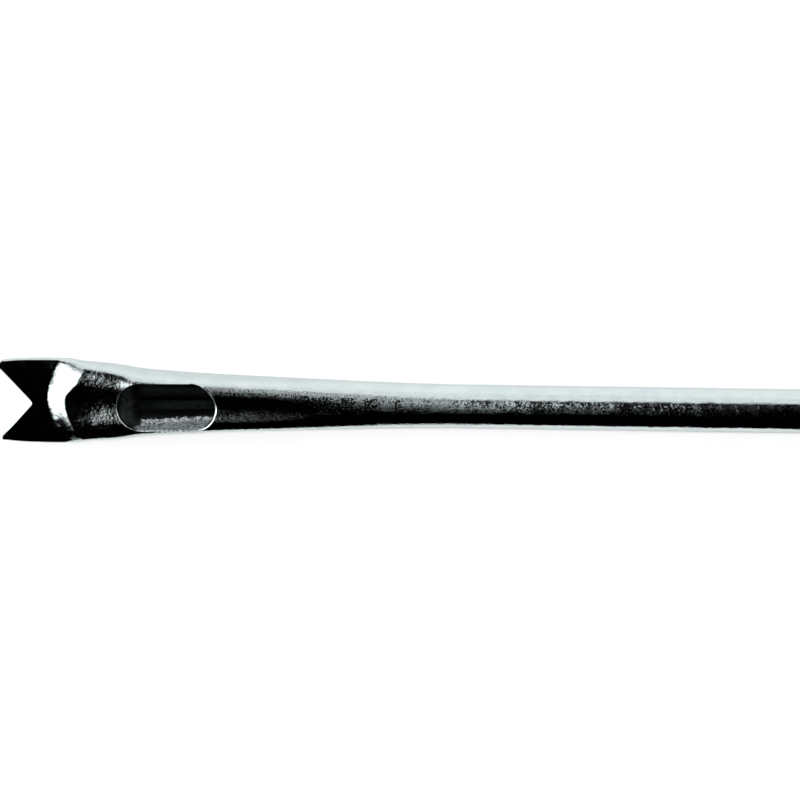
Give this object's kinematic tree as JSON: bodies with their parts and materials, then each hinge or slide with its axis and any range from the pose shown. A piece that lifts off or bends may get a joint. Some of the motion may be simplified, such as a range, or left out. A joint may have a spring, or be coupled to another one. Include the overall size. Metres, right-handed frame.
{
  "type": "fat injection cannula",
  "caption": "Stainless steel fat injection cannula: V-forked flat head, one side port, round shaft and female Luer-lock hub.",
  "frame": {"origin": "centre of the mouth of the hub's Luer socket, on the axis of the shaft", "axes": "+X along the shaft, from the fork to the mouth of the hub; +Z square to the flat of the fork, on the side of the port; Y across the fork"},
  "size_m": [0.177, 0.0092, 0.008],
  "materials": {
    "satin_steel": "satin",
    "polished_steel": "polished",
    "silver_braze": "satin",
    "enamel": "gloss"
  },
  "bodies": {
    "root": {"fork_head": "satin_steel", "lumen_plug": "silver_braze", "shaft_tube": "satin_steel", "nose_sleeve": "polished_steel", "braze_rings": "silver_braze", "hub_core": "polished_steel", "hub_grip": "polished_steel", "port_marker": "enamel"}
  },
  "joints": []
}
